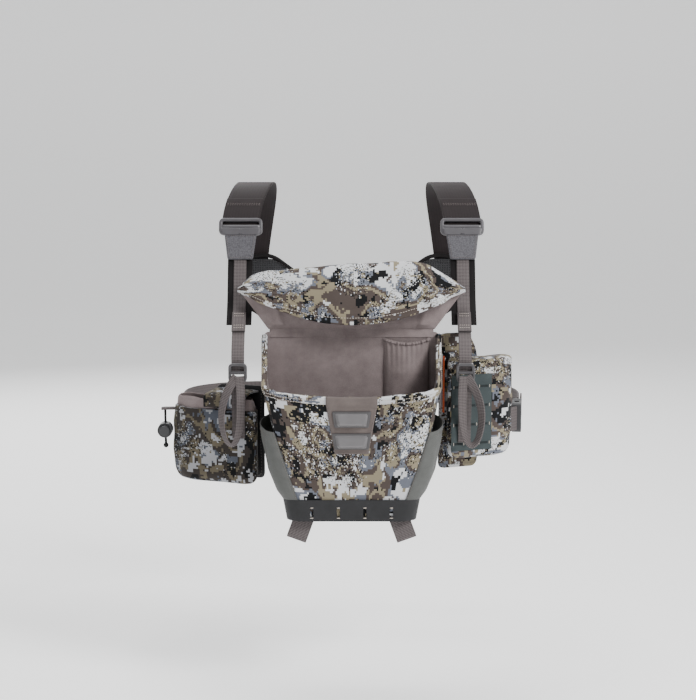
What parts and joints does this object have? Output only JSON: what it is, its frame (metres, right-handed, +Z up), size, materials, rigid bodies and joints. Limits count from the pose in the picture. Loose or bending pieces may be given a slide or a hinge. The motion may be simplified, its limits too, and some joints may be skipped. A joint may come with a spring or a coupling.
{
  "type": "binocular harness pack",
  "caption": "Chest pouch with an open padded lid on a shoulder harness, with a belt-type side pouch on each wing.",
  "frame": {"origin": "centre of the chest face of the main pouch's back", "axes": "+X to the viewer's right, -Y out of the chest, +Z up"},
  "size_m": [0.3809, 0.3124, 0.348],
  "materials": {
    "camo_fabric": "woven, printed",
    "brushed_lining": "brushed",
    "spacer_mesh": "knitted mesh",
    "stretch_woven": "smooth woven",
    "laminate": "laser-cut, matt",
    "webbing": "ribbed",
    "strap_webbing": "ribbed",
    "elastic": "ribbed",
    "acetal": "moulded, satin",
    "patch_vinyl": "pebbled",
    "black_plastic": "moulded",
    "spring_steel": "bright",
    "shock_cord": "braided",
    "zip_coil": "woven tape",
    "zip_metal": "satin",
    "orange_pull": "moulded",
    "stiffener": "sheet"
  },
  "bodies": {
    "root": {"back_mesh": "spacer_mesh", "back_panel": "brushed_lining", "base_band": "laminate", "base_floor": "camo_fabric", "bottom_tabs": "webbing", "buckle_patch_left": "patch_vinyl", "buckle_patch_right": "patch_vinyl", "buckle_socket_left": "acetal", "buckle_socket_right": "acetal", "cleat_lower": "acetal", "cleat_upper": "acetal", "cord_eyelet": "webbing", "cord_knot": "shock_cord", "elastics": "elastic", "frame_sheet": "stiffener", "front_panel": "camo_fabric", "gusset_left": "camo_fabric", "gusset_right": "camo_fabric", "inner_pocket": "brushed_lining", "inner_pocket_hem": "elastic", "ladder_locks": "acetal", "lock_anchors": "webbing", "placket": "stretch_woven", "pouch_left_collar": "brushed_lining", "pouch_left_shell": "camo_fabric", "pouch_right_panel": "laminate", "pouch_right_shell": "camo_fabric", "rim_binding": "brushed_lining", "risers": "webbing", "shock_cord": "shock_cord", "shoulder_strap_left": "strap_webbing", "shoulder_strap_right": "strap_webbing", "side_strap_left": "webbing", "side_strap_right": "webbing", "slide_buckles": "acetal", "stretch_pocket_left": "stretch_woven", "stretch_pocket_right": "stretch_woven", "wing_left": "laminate", "wing_right": "laminate", "yoke": "spacer_mesh", "zip_tape": "zip_coil"},
    "lid": {"lid_panel": "camo_fabric", "lid_stiffener": "stiffener", "lid_lining": "brushed_lining"},
    "apron": {"lid_flap": "camo_fabric", "flap_hook": "acetal"},
    "right_flap": {"pouch_right_flap": "camo_fabric"},
    "left_flap": {"pouch_left_flap": "camo_fabric"},
    "right_loop": {"pull_loop_right": "webbing"},
    "left_loop": {"pull_loop_left": "webbing"},
    "cord_lock": {"cord_lock_body": "black_plastic", "cord_lock_spring": "spring_steel"},
    "cord_button": {"cord_lock_button": "black_plastic"},
    "zipper": {"zip_slider": "zip_metal"},
    "zip_puller": {"zip_pull": "orange_pull"},
    "right_plug": {"buckle_plug_right": "acetal", "plug_webbing_right": "webbing"},
    "left_plug": {"buckle_plug_left": "acetal", "plug_webbing_left": "webbing"}
  },
  "joints": [
    {"name": "lid_hinge", "type": "hinge", "parent": "root", "child": "lid", "pos_m": [0, -0.0065, 0.096], "axis": [1, 0, 0], "range_deg": [0, 112]},
    {"name": "apron_fold", "type": "hinge", "parent": "lid", "child": "apron", "pos_m": [0, -0.0043, 0.1575], "axis": [1, 0, 0], "range_deg": [-112, 0]},
    {"name": "right_flap_hinge", "type": "hinge", "parent": "root", "child": "right_flap", "pos_m": [0.12519, 0.01081, 0.0704], "axis": [-0.9135, -0.4067, 0], "range_deg": [0, 88]},
    {"name": "left_flap_hinge", "type": "hinge", "parent": "root", "child": "left_flap", "pos_m": [-0.11332, 0.00552, 0.0354], "axis": [-0.9135, 0.4067, 0], "range_deg": [0, 95]},
    {"name": "right_loop_swing", "type": "hinge", "parent": "root", "child": "right_loop", "pos_m": [0.112, -0.0456, 0.057], "axis": [-1, 0, 0], "range_deg": [0, 70]},
    {"name": "left_loop_swing", "type": "hinge", "parent": "root", "child": "left_loop", "pos_m": [-0.112, -0.0456, 0.057], "axis": [-1, 0, 0], "range_deg": [0, 70]},
    {"name": "cord_lock_slide", "type": "slide", "parent": "root", "child": "cord_lock", "axis": [0, 0, 1], "range_m": [-0.004, 0.006]},
    {"name": "cord_lock_press", "type": "slide", "parent": "cord_lock", "child": "cord_button", "axis": [0, 1, 0], "range_m": [0, 0.003], "stiffness_N_per_m": 400, "springref_m": -0.003},
    {"name": "zip_slide", "type": "slide", "parent": "root", "child": "zipper", "axis": [0, 0, -1], "range_m": [0, 0.022]},
    {"name": "zip_pull_swing", "type": "hinge", "parent": "zipper", "child": "zip_puller", "pos_m": [0.0915, -0.0094, 0.0684], "axis": [-1, 0, 0], "range_deg": [0, 60]},
    {"name": "right_plug_slide", "type": "slide", "parent": "root", "child": "right_plug", "axis": [0.1045, 0.9945, 0], "range_m": [0, 0.02]},
    {"name": "left_plug_slide", "type": "slide", "parent": "root", "child": "left_plug", "axis": [-0.1045, 0.9945, 0], "range_m": [0, 0.02]}
  ],
  "couplings": [
    {"joint": "apron_fold", "follows": "lid_hinge", "ratio": -1}
  ]
}
